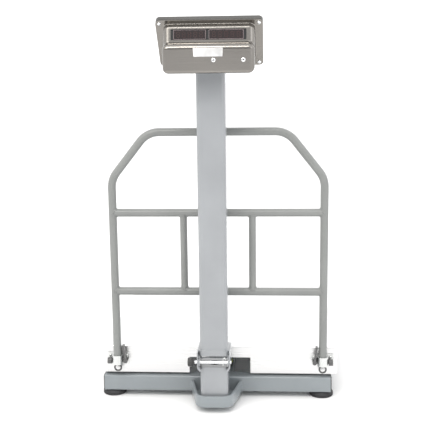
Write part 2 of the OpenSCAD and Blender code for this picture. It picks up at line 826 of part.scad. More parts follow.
rear_beam();
front_beam();
spine();
beam_caps();
foot_bushes();
foot_pad_rear_left();
foot_pad_rear_right();
foot_pad_front_left();
foot_pad_front_right();
foot_stud_rear_left();
foot_stud_rear_right();
foot_stud_front_left();
foot_stud_front_right();
nose_bracket();
nose_floor();
post_stub();
hinge_fork();
hinge_rod();
split_pin();
hinge_knob();
load_cell();
cell_spacer();
cell_bolts();
cell_cable();
frame_cross_tubes();
frame_rails();
frame_plate();
platter_pads();
overload_stops();
bubble_level();
platter();
rail_sockets();
socket_screws();
clamp_bolts();
clamp_lever_left();
clamp_lever_right();
eye_bolts();
guard_hoop();
guard_bars();
post_tube();
hinge_shoe();
head_plate();
head_plate_screws();
post_cable();
cable_gland();
head_rear_shell();
shell_screws();
head_gasket();
head_front_tray();
flange_screws();
rear_window();
rear_displays();
front_window();
front_display();
circuit_board();
battery();
key_zero();
key_tare();
key_unit();
key_power();
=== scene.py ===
"""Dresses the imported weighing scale: finer metalwork, fittings, finishes, light and camera."""
import json
from math import cos, pi, radians, sin, tan

import bmesh
import bpy
from bpy.props import FloatProperty, FloatVectorProperty, IntProperty, PointerProperty
from mathutils import Matrix, Vector


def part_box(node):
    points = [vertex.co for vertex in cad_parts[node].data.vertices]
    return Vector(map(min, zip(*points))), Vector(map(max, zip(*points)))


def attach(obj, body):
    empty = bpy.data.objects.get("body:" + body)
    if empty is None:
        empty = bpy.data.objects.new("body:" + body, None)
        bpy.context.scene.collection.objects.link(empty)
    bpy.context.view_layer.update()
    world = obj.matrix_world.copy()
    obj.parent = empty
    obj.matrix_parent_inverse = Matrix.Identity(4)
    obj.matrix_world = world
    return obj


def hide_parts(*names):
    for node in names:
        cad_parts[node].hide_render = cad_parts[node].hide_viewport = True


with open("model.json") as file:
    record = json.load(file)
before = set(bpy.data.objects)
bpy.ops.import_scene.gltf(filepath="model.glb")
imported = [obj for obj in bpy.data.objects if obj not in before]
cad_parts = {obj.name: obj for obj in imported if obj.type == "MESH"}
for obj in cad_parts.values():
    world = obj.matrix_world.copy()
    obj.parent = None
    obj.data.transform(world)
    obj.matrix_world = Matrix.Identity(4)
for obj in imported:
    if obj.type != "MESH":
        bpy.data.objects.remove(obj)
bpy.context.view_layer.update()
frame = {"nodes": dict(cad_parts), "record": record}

bl_info = {
    "name": "Weighing Scale Dresser",
    "version": (1, 0, 0),
    "blender": (4, 5, 0),
    "location": "3D View > Sidebar > Scale",
    "description": "Builds the visible pieces of an animal weighing scale around its packed frame",
    "category": "Object",
}

MM = 0.001
RECORD = frame["record"]
BODY_OF = {node: body for body, nodes in RECORD["behaviour"]["bodies"].items() for node in nodes}
SLOT_OF = {row["node"]: row["material_slot"] for row in RECORD["subparts"]}
COLOUR_OF = {row["slot"]: tuple(row["base_color"]) for row in RECORD["materials"]}
TINT_OF = {
    "post_paint": (0.45, 0.47, 0.51),
    "grey_paint": (0.7, 0.71, 0.73),
    "rail_paint": (0.72, 0.72, 0.7),
    "head_steel": (0.43, 0.415, 0.4),
    "platter_steel": (0.84, 0.84, 0.85),
    "window_red": (0.08, 0.08, 0.1),
    "vial": (0.4, 0.4, 0.3),
}
FOOT_PLACES = ("rear_left", "rear_right", "front_left", "front_right")
KEYS = ("zero", "tare", "unit", "power")
POST_CORNER = 11 * MM


def middle(node):
    """Centre of a node's box."""
    low, high = (Vector(corner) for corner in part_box(node))
    return (low + high) / 2


def reach(node):
    """Size of a node's box along each axis."""
    low, high = (Vector(corner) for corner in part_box(node))
    return high - low


# ---- sizes that a user would change ----

class ScaleShapes(bpy.types.PropertyGroup):
    """Sizes of the pieces that the frame leaves to the eye."""

    edge: FloatProperty(
        name="Edge radius", description="Rounding of cut and folded steel edges",
        default=0.7 * MM, min=0.1 * MM, max=2 * MM, unit="LENGTH")
    sheet_fold: FloatProperty(
        name="Platter fold", description="Radius of the fold between the platter's top and skirt",
        default=3.5 * MM, min=1 * MM, max=4 * MM, unit="LENGTH")
    weld: FloatProperty(
        name="Weld radius", description="Radius of a weld bead",
        default=1.9 * MM, min=1 * MM, max=4 * MM, unit="LENGTH")
    bend: FloatProperty(
        name="Rail bend", description="Bend radius of the guard rail's tube",
        default=60 * MM, min=30 * MM, max=80 * MM, unit="LENGTH")
    lean_height: FloatProperty(
        name="Lean height", description="Height where the rail's uprights start to lean in",
        default=565 * MM, unit="LENGTH")
    top_half: FloatProperty(
        name="Top half length", description="Half length of the rail's top bar",
        default=170 * MM, unit="LENGTH")
    short_bar: FloatProperty(
        name="Short bar place", description="Distance of the rail's short bars from its middle",
        default=85 * MM, unit="LENGTH")
    tilt: FloatProperty(
        name="Head tilt", description="Lean of the head's flange from upright",
        default=radians(42), subtype="ANGLE")
    dome_half: FloatProperty(
        name="Dome half width", description="Half width of the rear shell's dome",
        default=103 * MM, unit="LENGTH")
    dome_round: FloatProperty(
        name="Dome rounding", description="Radius of the dome's two ends",
        default=14 * MM, min=6 * MM, max=18 * MM, unit="LENGTH")
    flange_half: FloatVectorProperty(
        name="Flange half size", description="Half width and half height of the head's flange",
        size=2, default=(121 * MM, 67 * MM), unit="LENGTH")
    sheet: FloatProperty(
        name="Head sheet", description="Thickness of the head's steel",
        default=1.5 * MM, unit="LENGTH")
    segments: IntProperty(
        name="Rounding steps", description="Facets across each rounded edge",
        default=3, min=1, max=6)


class ScaleFinishes(bpy.types.PropertyGroup):
    """How the surfaces take the light."""

    paint_rough: FloatProperty(
        name="Paint roughness", description="Roughness of the powder paint", default=0.42, min=0, max=1)
    steel_rough: FloatProperty(
        name="Steel roughness", description="Roughness of the brushed head", default=0.19, min=0, max=1)
    platter_rough: FloatProperty(
        name="Platter roughness", description="Roughness of the platter's sheet", default=0.3, min=0, max=1)


class ScaleStage(bpy.types.PropertyGroup):
    """Camera and light."""

    camera_back: FloatProperty(
        name="Camera distance", description="Distance of the camera behind the rear beam",
        default=2.0152, unit="LENGTH")
    camera_side: FloatProperty(
        name="Camera offset", description="How far the camera stands to the right of the post",
        default=0.1335, unit="LENGTH")
    camera_height: FloatProperty(
        name="Camera height", description="Height of the camera above the floor",
        default=0.8377, unit="LENGTH")
    turn: FloatVectorProperty(
        name="Camera turn", description="Pitch down, roll and yaw of the camera", size=3,
        default=(radians(10.191), radians(-0.719), radians(3.761)), subtype="EULER")
    lens: FloatProperty(name="Lens", description="Focal length in millimetres", default=69.61, min=20)
    sky: FloatProperty(name="Room light", description="Strength of the even room light", default=1.4, min=0)
    key: FloatProperty(
        name="Key light", description="Power of the main soft light in watts", default=26, min=0)
    strip: FloatProperty(
        name="Strip light", description="Power of the strip above the head in watts", default=22, min=0)
    fill: FloatProperty(name="Fill light", description="Power of the fill light in watts", default=10, min=0)


# ---- finishes ----

def new_finish(name, colour, rough, metal=0.0):
    """A material with its colour, roughness and metal on the shader's own sockets."""
    material = bpy.data.materials.new(name)
    material.use_nodes = True
    shader = material.node_tree.nodes["Principled BSDF"]
    shader.inputs["Base Color"].default_value = (*colour, 1)
    shader.inputs["Roughness"].default_value = rough
    shader.inputs["Metallic"].default_value = metal
    return material, material.node_tree, shader


def grain(tree, scale, stretch=(1, 1, 1), detail=3.0):
    """Noise over the piece's own coordinates, finer along the axes with a larger stretch."""
    coords = tree.nodes.new("ShaderNodeTexCoord")
    mapping = tree.nodes.new("ShaderNodeMapping")
    mapping.inputs["Scale"].default_value = stretch
    noise = tree.nodes.new("ShaderNodeTexNoise")
    noise.inputs["Scale"].default_value = scale
    noise.inputs["Detail"].default_value = detail
    tree.links.new(coords.outputs["Object"], mapping.inputs["Vector"])
    tree.links.new(mapping.outputs["Vector"], noise.inputs["Vector"])
    return noise.outputs["Fac"]


def vary_colour(tree, shader, source, dark, light):
    """Colour that drifts between two tones with the noise."""
    ramp = tree.nodes.new("ShaderNodeValToRGB")
    ramp.color_ramp.elements[0].position = 0.3
    ramp.color_ramp.elements[0].color = (*dark, 1)
    ramp.color_ramp.elements[1].position = 0.7
    ramp.color_ramp.elements[1].color = (*light, 1)
    tree.links.new(source, ramp.inputs["Fac"])
    tree.links.new(ramp.outputs["Color"], shader.inputs["Base Color"])


def vary_rough(tree, shader, source, low, high):
    """Roughness that drifts between two values with the noise."""
    spread = tree.nodes.new("ShaderNodeMapRange")
    spread.inputs["From Min"].default_value = 0.3
    spread.inputs["From Max"].default_value = 0.7
    spread.inputs["To Min"].default_value = low
    spread.inputs["To Max"].default_value = high
    tree.links.new(source, spread.inputs["Value"])
    tree.links.new(spread.outputs["Result"], shader.inputs["Roughness"])


def emboss(tree, shader, source, depth, strength):
    """Bump of the given depth in metres."""
    bump = tree.nodes.new("ShaderNodeBump")
    bump.inputs["Distance"].default_value = depth
    bump.inputs["Strength"].default_value = strength
    tree.links.new(source, bump.inputs["Height"])
    tree.links.new(bump.outputs["Normal"], shader.inputs["Normal"])


def shade(colour, factor):
    """The colour made darker or lighter."""
    return tuple(min(1.0, channel * factor) for channel in colour)


def powder_paint(name, colour, rough, peel=0.35, gloss=0.2):
    """Powder paint: faint orange peel, a slow drift of tone and gloss, and dust in the film."""
    material, tree, shader = new_finish(name, colour, rough)
    slow = grain(tree, 9, detail=4)
    vary_colour(tree, shader, slow, shade(colour, 0.93), shade(colour, 1.06))
    vary_rough(tree, shader, grain(tree, 34, detail=5), rough - 0.06, rough + 0.09)
    emboss(tree, shader, grain(tree, 420, detail=2), 0.12 * MM, peel)
    shader.inputs["Coat Weight"].default_value = gloss
    shader.inputs["Coat Roughness"].default_value = 0.12
    return material


def drawn_steel(name, colour, rough, stretch, depth=0.02, drift=0.08):
    """Stainless sheet with its rolling grain along the axis with the smallest stretch."""
    material, tree, shader = new_finish(name, colour, rough, metal=1.0)
    streaks = grain(tree, 520, stretch, detail=4)
    vary_colour(tree, shader, grain(tree, 5, detail=3), shade(colour, 1 - drift), shade(colour, 1 + drift))
    vary_rough(tree, shader, streaks, rough - 0.05, rough + 0.08)
    emboss(tree, shader, streaks, depth * MM, 0.35)
    return material


def plated(name, colour, rough):
    """Bright plating with faint cloudiness."""
    material, tree, shader = new_finish(name, colour, rough, metal=1.0)
    vary_rough(tree, shader, grain(tree, 160, detail=4), rough - 0.04, rough + 0.1)
    emboss(tree, shader, grain(tree, 900, detail=2), 0.02 * MM, 0.15)
    return material


def moulded(name, colour, rough, texture=0.25, size=700):
    """Moulded rubber or plastic with a fine eroded texture and scuffed, paler patches."""
    material, tree, shader = new_finish(name, colour, rough)
    vary_colour(tree, shader, grain(tree, 28, detail=5), shade(colour, 0.82), shade(colour, 1.3))
    vary_rough(tree, shader, grain(tree, 60, detail=4), rough - 0.08, rough + 0.08)
    emboss(tree, shader, grain(tree, size, detail=3), 0.1 * MM, texture)
    return material


def filter_sheet(name, colour):
    """Dark, glossy filter sheet with a coat and the faintest waviness."""
    material, tree, shader = new_finish(name, colour, 0.16)
    vary_colour(tree, shader, grain(tree, 14, detail=2), shade(colour, 0.8), shade(colour, 1.25))
    emboss(tree, shader, grain(tree, 40, detail=1), 0.05 * MM, 0.1)
    shader.inputs["Coat Weight"].default_value = 0.3
    shader.inputs["Coat Roughness"].default_value = 0.06
    return material


def make_finish(slot):
    """The material of one slot, or of one of the small extra pieces."""
    look = bpy.context.scene.scale_finishes
    colour = COLOUR_OF.get(slot)
    if colour:
        colour = tuple(channel * part for channel, part in zip(colour, TINT_OF.get(slot, (1, 1, 1))))
    makers = {
        "grey_paint": lambda: powder_paint(slot, colour, look.paint_rough, gloss=0.5),
        "post_paint": lambda: powder_paint(slot, colour, look.paint_rough - 0.06, 0.2, 0.8),
        "rail_paint": lambda: powder_paint(slot, colour, look.paint_rough),
        "black_steel": lambda: powder_paint(slot, colour, 0.4),
        "zinc": lambda: plated(slot, colour, 0.28),
        "chrome": lambda: plated(slot, colour, 0.1),
        "cell_alloy": lambda: drawn_steel(slot, colour, 0.36, (1, 0.03, 1), 0.01, 0.04),
        "platter_steel": lambda: drawn_steel(slot, colour, look.platter_rough, (0.01, 1, 1), 0.004, 0.02),
        "head_steel": lambda: drawn_steel(slot, colour, look.steel_rough, (0.02, 1.2, 1.2), 0.012, 0.06),
        # The tray's finish is head steel at a quarter of its tone: painted shade for the dark band round the
        # tray's wall.
        "tray_steel": lambda: drawn_steel(
            slot, shade(COLOUR_OF["head_steel"], 0.24), 0.34, (0.02, 1.2, 1.2), 0.012),
        "black_rubber": lambda: moulded(slot, colour, 0.72, 0.4, 500),
        "black_plastic": lambda: moulded(slot, colour, 0.42),
        "display_grey": lambda: moulded(slot, colour, 0.5),
        "board_green": lambda: moulded(slot, colour, 0.3, 0.1),
        "key_blue": lambda: moulded(slot, colour, 0.5),
        "key_red": lambda: moulded(slot, colour, 0.5),
        "vial": lambda: filter_sheet(slot, colour),
        "window_red": lambda: filter_sheet(slot, colour),
        "window_smoke": lambda: filter_sheet(slot, colour),
        "outline_grey": lambda: moulded(slot, (0.3, 0.24, 0.25), 0.4, 0.05),
        "segment_red": lambda: moulded(slot, (0.03, 0.012, 0.012), 0.3, 0.05),
        "segment_grey": lambda: moulded(slot, (0.012, 0.013, 0.014), 0.3, 0.05),
        "panel_grey": lambda: moulded(slot, (0.3, 0.31, 0.31), 0.3, 0.05),
        "label_white": lambda: moulded(slot, (0.6, 0.6, 0.6), 0.45, 0.05),
    }
    return makers[slot]()


FINISHES = {}


def finish(slot):
    """The slot's material, made once."""
    if slot not in FINISHES:
        FINISHES[slot] = make_finish(slot)
    return FINISHES[slot]


# ---- mesh tools ----

def settle(thing):
    """Applies the modifiers to the mesh."""
    depsgraph = bpy.context.evaluated_depsgraph_get()
    mesh = bpy.data.meshes.new_from_object(thing.evaluated_get(depsgraph))
    thing.modifiers.clear()
    thing.data = mesh


def piece(name, bm, look, body, replaced=(), smooth=42, thickness=0.0):
    """Turns the mesh into an object that rides on a body; look names its finish."""
    if not thickness:
        bmesh.ops.recalc_face_normals(bm, faces=bm.faces[:])
    mesh = bpy.data.meshes.new(name)
    bm.to_mesh(mesh)
    bm.free()
    thing = bpy.data.objects.new(name, mesh)
    bpy.context.scene.collection.objects.link(thing)
    if thickness:
        wall = thing.modifiers.new("wall", "SOLIDIFY")
        wall.thickness = thickness
        wall.offset = -1
        settle(thing)
    thing.data.shade_smooth()
    thing.data.set_sharp_from_angle(angle=radians(smooth))
    thing.modifiers.new("normals", "WEIGHTED_NORMAL").keep_sharp = True
    settle(thing)
    thing.data.materials.clear()
    thing.data.materials.append(finish(look))
    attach(thing, body)
    if replaced:
        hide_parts(*replaced)
    return thing


def cad_mesh(node):
    """The node's mesh with its flat faces joined up again."""
    bm = bmesh.new()
    bm.from_mesh(frame["nodes"][node].data)
    bmesh.ops.remove_doubles(bm, verts=bm.verts[:], dist=0.001 * MM)
    bmesh.ops.dissolve_limit(
        bm, angle_limit=radians(0.6), verts=bm.verts[:], edges=bm.edges[:])
    return bm


def round_edges(bm, width, segments, chosen=None, angle=30):
    """Rounds the edges that turn by more than angle, or only the chosen ones of them."""
    edges = [
        edge for edge in bm.edges
        if len(edge.link_faces) == 2 and edge.calc_face_angle(0) > radians(angle)
        and (chosen is None or chosen(edge))]
    if edges:
        bmesh.ops.bevel(
            bm, geom=edges, offset=width, offset_type="OFFSET", segments=segments, profile=0.5,
            affect="EDGES", clamp_overlap=True)


def finer(node, width=None, big=0.0, chosen=None, look=None):
    """A copy of the node with rounded edges; big rounds the chosen edges more than the rest."""
    shapes = bpy.context.scene.scale_shapes
    bm = cad_mesh(node)
    if chosen:
        round_edges(bm, big, shapes.segments + 2, chosen)
    width = shapes.edge if width is None else width
    if width:
        round_edges(bm, width, shapes.segments, angle=40)
    slot = SLOT_OF[node]
    return piece(node + "_fine", bm, look or slot, BODY_OF[node], replaced=[node])


def join_rings(bm, rings, closed=False):
    """Quads between rings of equal length; closed joins the last ring to the first."""
    count = len(rings[0])
    pairs = list(zip(rings, rings[1:]))
    if closed:
        pairs.append((rings[-1], rings[0]))
    for one, two in pairs:
        for i in range(count):
            k = (i + 1) % count
            bm.faces.new((one[i], one[k], two[k], two[i]))


def sweep(bm, path, radii, sides=24, closed=False):
    """A round bar along a path of points; radii is one radius or one for each point."""
    path = [Vector(point) for point in path]
    last = len(path) - 1
    if isinstance(radii, float):
        radii = [radii] * len(path)
    across = None
    rings = []
    for i, point in enumerate(path):
        before = path[i - 1] if closed or i else point
        after = path[(i + 1) % len(path)] if closed or i < last else point
        along = (after - before).normalized()
        if across is None:
            across = along.orthogonal()
        across = (across - along * across.dot(along)).normalized()
        other = along.cross(across)
        turns = [2 * pi * k / sides for k in range(sides)]
        rings.append([
            bm.verts.new(point + radii[i] * (across * cos(turn) + other * sin(turn))) for turn in turns])
    join_rings(bm, rings, closed)
    if not closed:
        bm.faces.new(rings[0])
        bm.faces.new(rings[-1])


def lathe(bm, profile, place, sides=40, waist=None):
    """Turns (radius, height) points about place's Z; waist(angle) scales the radius."""
    rings = []
    for radius, height in profile:
        turns = [2 * pi * k / sides for k in range(sides)]
        scale = [waist(turn) if waist else 1 for turn in turns]
        rings.append([
            bm.verts.new(place @ Vector((radius * s * cos(turn), radius * s * sin(turn), height)))
            for s, turn in zip(scale, turns)])
    join_rings(bm, rings)
    bm.faces.new(rings[0])
    bm.faces.new(rings[-1])


def facing(point, direction):
    """A frame at a point with +Z along the direction."""
    turn = Vector(direction).to_track_quat("Z", "Y").to_matrix().to_4x4()
    return Matrix.Translation(Vector(point)) @ turn


def fillet(corners, steps=6):
    """Outline through (x, y, radius) corners, each rounded with its own arc; the ends stay sharp."""
    points = [Vector(corners[0][:2])]
    for before, corner, after in zip(corners, corners[1:], corners[2:]):
        here = Vector(corner[:2])
        back = (Vector(before[:2]) - here).normalized()
        on = (Vector(after[:2]) - here).normalized()
        if not corner[2]:
            points.append(here)
            continue
        half = back.angle(on) / 2
        centre = here + (back + on).normalized() * corner[2] / sin(half)
        start = here + back * corner[2] / tan(half) - centre
        end = here + on * corner[2] / tan(half) - centre
        sweep_angle = start.angle_signed(end)
        for i in range(steps + 1):
            turn = Matrix.Rotation(-sweep_angle * i / steps, 2)
            points.append(centre + turn @ start)
    points.append(Vector(corners[-1][:2]))
    return points


def rounded_box(width, height, radius, steps=5):
    """Outline of a rectangle with round corners."""
    points = []
    for quarter, (x, y) in enumerate(((1, 1), (-1, 1), (-1, -1), (1, -1))):
        for i in range(steps + 1):
            turn = (quarter + i / steps) * pi / 2
            across = x * (width / 2 - radius) + radius * cos(turn)
            points.append((across, y * (height / 2 - radius) + radius * sin(turn)))
    return points


def slab(bm, place, outline, low, high):
    """A plate of the outline's shape between two heights."""
    rings = [[bm.verts.new(place @ Vector((x, y, z))) for x, y in outline] for z in (low, high)]
    join_rings(bm, rings)
    bm.faces.new(rings[0])
    bm.faces.new(rings[1])


def ring_plate(bm, place, outer, inner, low, high):
    """A frame between two outlines of equal length, between two heights."""
    order = ((outer, low), (outer, high), (inner, high), (inner, low))
    rings = [[bm.verts.new(place @ Vector((x, y, z))) for x, y in outline] for outline, z in order]
    join_rings(bm, rings, closed=True)


def weld(bm, path, radius, closed=False):
    """A weld bead with its ripples along a path."""
    path = [Vector(point) for point in path]
    if closed:
        path.append(path[0])
    points = []
    for start, end in zip(path, path[1:]):
        steps = max(1, round((end - start).length / (0.9 * radius)))
        points += [start.lerp(end, i / steps) for i in range(steps)]
    if not closed:
        points.append(path[-1])
    ripple = (1.0, 1.13, 1.04, 0.9)
    radii = [radius * ripple[i % len(ripple)] for i in range(len(points))]
    sweep(bm, points, radii, sides=8, closed=closed)


# ---- pieces ----

def build_base(shapes):
    """The beams, the spine, the nose bracket with the post's stub, and their welds."""
    for node in ("rear_beam", "front_beam", "spine", "nose_bracket", "nose_floor", "post_stub"):
        finer(node)
    finer("beam_caps", 0.8 * MM)
    finer("foot_bushes", 0.4 * MM)
    bm = bmesh.new()
    spine_low, spine_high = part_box("spine")
    inner = shapes.weld * 0.3
    for y in (spine_low[1] + inner, spine_high[1] - inner):
        for z in (spine_low[2] + inner, spine_high[2] - inner):
            weld(bm, [(spine_low[0] + 5 * MM, y, z), (spine_high[0] - 5 * MM, y, z)], shapes.weld)
        for x in (spine_low[0], spine_high[0]):
            weld(bm, [(x, y, spine_low[2] + 6 * MM), (x, y, spine_high[2] - 6 * MM)], shapes.weld)
    low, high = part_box("nose_bracket")
    for x in (low[0] + inner, high[0] - inner):
        weld(bm, [(x, high[1] - inner, low[2] + 1 * MM), (x, high[1] - inner, high[2] - 1 * MM)], shapes.weld)
    low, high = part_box("post_stub")
    half = (high[0] - low[0]) / 2
    centre = middle("post_stub")
    foot = [(centre.x + x, centre.y + y, low[2]) for x, y in rounded_box(2 * half, 2 * half, POST_CORNER)]
    weld(bm, foot, shapes.weld, closed=True)
    piece("base_welds", bm, "grey_paint", "base")


def build_feet(shapes):
    """Four turned rubber feet on their studs."""
    for place in FOOT_PLACES:
        pad = "foot_pad_" + place
        low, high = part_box(pad)
        radius = (high[0] - low[0]) / 2
        height = high[2] - low[2]
        rib = 0.9 * MM
        profile = [
            (6 * MM, 0), (radius - 4 * MM, 0), (radius - 1.4 * MM, 0.3 * MM), (radius - 0.3 * MM, 1.2 * MM),
            (radius, 2.4 * MM), (radius, 0.32 * height), (radius - rib, 0.37 * height),
            (radius - rib, 0.43 * height), (radius, 0.48 * height), (radius, 0.6 * height),
            (radius - 0.5 * MM, 0.68 * height), (radius - 2.4 * MM, 0.9 * height),
            (radius - 3.6 * MM, 0.98 * height), (radius - 5 * MM, height), (13 * MM, height),
            (11.6 * MM, height - 0.5 * MM), (10.8 * MM, height - 1.8 * MM), (6 * MM, height - 1.8 * MM)]
        bm = bmesh.new()
        centre = middle(pad)
        lathe(bm, profile, Matrix.Translation((centre.x, centre.y, 0)), sides=64)
        piece(pad + "_fine", bm, SLOT_OF[pad], BODY_OF[pad], replaced=[pad], smooth=35)
        finer("foot_stud_" + place, 0.4 * MM)


def build_hinge(shapes):
    """The fold of the post: fork, shoe, split pin, rod and lobed knob."""
    for node in ("hinge_fork", "hinge_shoe"):
        finer(node)
    finer("split_pin", 0.2 * MM)
    low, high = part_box("hinge_rod")
    centre = middle("hinge_rod")
    radius = (high[2] - low[2]) / 2
    chamfer = 0.8 * MM
    length = high[0] - low[0]
    bm = bmesh.new()
    tip = radius - chamfer
    lathe(bm, [(tip, 0), (radius, chamfer), (radius, length - chamfer), (tip, length)],
          facing((low[0], centre.y, centre.z), (1, 0, 0)))
    piece("hinge_rod_fine", bm, "chrome", "base", replaced=["hinge_rod"])
    low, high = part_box("hinge_knob")
    radius = (high[2] - low[2]) / 2
    length = high[0] - low[0]
    neck = 5 * MM

    def lobes(turn):
        return 1 - 0.13 * (0.5 + 0.5 * cos(6 * turn)) ** 2

    bm = bmesh.new()
    place = facing((high[0], centre.y, centre.z), (-1, 0, 0))
    lathe(bm, [(6.2 * MM, 0), (7 * MM, 0.6 * MM), (7 * MM, neck)], place)
    grip = [(8.4 * MM, neck), (radius - 0.9 * MM, neck + 0.4 * MM), (radius, neck + 1.6 * MM),
            (radius, length - 2.4 * MM), (radius - 0.7 * MM, length - 1.1 * MM),
            (radius - 2.2 * MM, length - 0.3 * MM), (6 * MM, length), (4.6 * MM, length - 0.2 * MM),
            (4.2 * MM, length - 0.8 * MM)]
    lathe(bm, grip, place, sides=72, waist=lobes)
    piece("hinge_knob_fine", bm, "black_plastic", "knob", replaced=["hinge_knob"])


def build_weighing_parts(shapes):
    """The load cell, the frame on it, its stops and pads, and the bubble level."""
    for node in ("load_cell", "cell_spacer", "frame_cross_tubes", "frame_rails", "frame_plate"):
        finer(node)
    for node in ("cell_bolts", "overload_stops"):
        finer(node, 0.35 * MM)
    finer("platter_pads", 1.6 * MM)
    finer("cell_cable", 0.0)
    finer("bubble_level", 0.5 * MM)
    bm = bmesh.new()
    centre = middle("bubble_level")
    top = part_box("bubble_level")[1][2] - 0.6 * MM
    lathe(bm, [(3.1 * MM, 0), (2.8 * MM, 0.25 * MM), (1.9 * MM, 0.42 * MM), (0.5 * MM, 0.5 * MM)],
          Matrix.Translation((centre.x + 0.8 * MM, centre.y + 0.5 * MM, top)), sides=24)
    piece("level_bubble", bm, "label_white", "base")
    bm = bmesh.new()
    low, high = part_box("frame_rails")
    half = reach("frame_cross_tubes").z / 2
    for side in (-1, 1):
        x = side * (high[0] - half)
        for y in (low[1] + 0.5 * MM, high[1] - 0.5 * MM):
            for z in (low[2] + 0.4 * MM, high[2] - 0.4 * MM):
                weld(bm, [(x - half + 4 * MM, y, z), (x + half - 4 * MM, y, z)], shapes.weld * 0.8)
    piece("frame_welds", bm, "grey_paint", "base")


def build_platter(shapes):
    """The platter, with a wider rounding where the skirt folds down from the top."""
    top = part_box("platter")[1][2]

    def outer_rim(edge):
        a, b = (vert.co for vert in edge.verts)
        return min(a.z, b.z) > top - 0.05 * MM

    finer("platter", 0.45 * MM, shapes.sheet_fold, outer_rim)


def screw_head(bm, point, direction, radius, height):
    """A domed screw head with a six-sided recess."""
    def hexagonal(turn):
        return 1 / cos((turn + pi / 6) % (pi / 3) - pi / 6)

    dome = [(radius * s, height * c) for s, c in
            ((1.0, 0.0), (1.0, 0.18), (0.96, 0.42), (0.86, 0.66), (0.7, 0.85), (0.52, 0.96))]
    place = facing(point, direction)
    rings = []
    sides = 36
    turns = [2 * pi * k / sides for k in range(sides)]
    for r, h in dome:
        rings.append([bm.verts.new(place @ Vector((r * cos(t), r * sin(t), h))) for t in turns])
    for r, h in ((0.42 * radius, height), (0.38 * radius, height * 0.9), (0.36 * radius, height * 0.3)):
        rings.append([
            bm.verts.new(place @ Vector((r * hexagonal(t) * cos(t), r * hexagonal(t) * sin(t), h)))
            for t in turns])
    join_rings(bm, rings)
    bm.faces.new(rings[0])
    bm.faces.new(rings[-1])


def solid_centres(node, toward):
    """The outermost point along a direction of each separate solid of a node."""
    bm = bmesh.new()
    bm.from_mesh(frame["nodes"][node].data)
    bmesh.ops.remove_doubles(bm, verts=bm.verts[:], dist=0.001 * MM)
    direction = Vector(toward).normalized()
    seen = set()
    found = []
    for start in bm.verts:
        if start in seen:
            continue
        group, queue = [], [start]
        seen.add(start)
        while queue:
            vert = queue.pop()
            group.append(vert.co.copy())
            for edge in vert.link_edges:
                other = edge.other_vert(vert)
                if other not in seen:
                    seen.add(other)
                    queue.append(other)
        top = max(point.dot(direction) for point in group)
        crown = [point for point in group if point.dot(direction) > top - 0.05 * MM]
        found.append(sum(crown, Vector()) / len(crown))
    bm.free()
    return found


def build_clamps(shapes):
    """The sockets of the rail's feet, with their bolts, levers, eyes and screws."""
    finer("rail_sockets")
    for node in ("clamp_bolts", "clamp_lever_left", "clamp_lever_right"):
        finer(node, 0.6 * MM)
    finer("eye_bolts", 0.0, look="black_steel")
    bm = bmesh.new()
    for point in solid_centres("socket_screws", (0, -1, 0)):
        screw_head(bm, point + Vector((0, 2.5 * MM, 0)), (0, -1, 0), 4.5 * MM, 2.5 * MM)
    piece("socket_screws_fine", bm, "zinc", "platter", replaced=["socket_screws"], smooth=35)


def build_rail(shapes):
    """The bent hoop, the bars across it and the beads where they meet."""
    low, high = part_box("guard_hoop")
    bar_low, bar_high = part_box("guard_bars")
    centre = middle("guard_hoop")
    tube = (high[1] - low[1]) / 2
    upright = (high[0] - low[0]) / 2 - tube
    top = high[2] - tube
    corners = [
        (-upright, low[2], 0), (-upright, shapes.lean_height, shapes.bend),
        (-shapes.top_half, top, shapes.bend), (shapes.top_half, top, shapes.bend),
        (upright, shapes.lean_height, shapes.bend), (upright, low[2], 0)]
    bm = bmesh.new()
    sweep(bm, [(centre.x + x, centre.y, z) for x, z in fillet(corners, 14)], tube, sides=40)
    round_edges(bm, 0.8 * MM, 2, angle=60)
    piece("guard_hoop_fine", bm, "rail_paint", "rail", replaced=["guard_hoop"])
    levels = (bar_low[2] + tube, bar_high[2] - tube)
    bm = bmesh.new()
    for z in levels:
        sweep(bm, [(centre.x - upright, centre.y, z), (centre.x + upright, centre.y, z)], tube, sides=40)
    short = tube - 1 * MM
    for side in (-1, 1):
        x = centre.x + side * shapes.short_bar
        sweep(bm, [(x, centre.y, levels[0]), (x, centre.y, levels[1])], short, sides=36)
    piece("guard_bars_fine", bm, "rail_paint", "rail", replaced=["guard_bars"])

    bm = bmesh.new()
    turns = [2 * pi * k / 28 for k in range(28)]
    for side in (-1, 1):
        for z in levels:
            loop = []
            for t in turns:
                depth = (tube ** 2 - (tube * sin(t)) ** 2) ** 0.5 if abs(cos(t)) > 0.02 else 0
                loop.append((centre.x + side * (upright - depth), centre.y + 0.99 * tube * sin(t),
                             z + tube * cos(t)))
            weld(bm, loop, shapes.weld, closed=True)
        for z, up in zip(levels, (1, -1)):
            loop = []
            for t in turns:
                rise = (tube ** 2 - (short * sin(t)) ** 2) ** 0.5
                loop.append((centre.x + side * shapes.short_bar + short * cos(t),
                             centre.y + short * sin(t), z + up * rise))
            weld(bm, loop, shapes.weld, closed=True)
    piece("rail_welds", bm, "rail_paint", "rail")


def build_post(shapes):
    """The square post, the plate under the head, their welds and the cable."""
    for node in ("post_tube", "head_plate", "cable_gland"):
        finer(node)
    finer("head_plate_screws", 0.4 * MM)
    finer("post_cable", 0.0)
    bm = bmesh.new()
    low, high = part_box("post_tube")
    centre = middle("post_tube")
    width = high[0] - low[0]
    outline = rounded_box(width, width, POST_CORNER)
    foot = [(centre.x + x, centre.y + y, low[2] + 0.3 * MM) for x, y in outline]
    weld(bm, foot, shapes.weld, closed=True)
    plate = underside_plane()
    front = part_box("head_plate")[1][1]
    top = [on_plane(plate, centre, x, y) for x, y in outline]
    start = next(i for i, point in enumerate(top) if point.y < front <= top[i - 1].y)
    top = [point for point in top[start:] + top[:start] if point.y < front]
    weld(bm, top, shapes.weld)
    piece("post_welds", bm, "post_paint", "post")


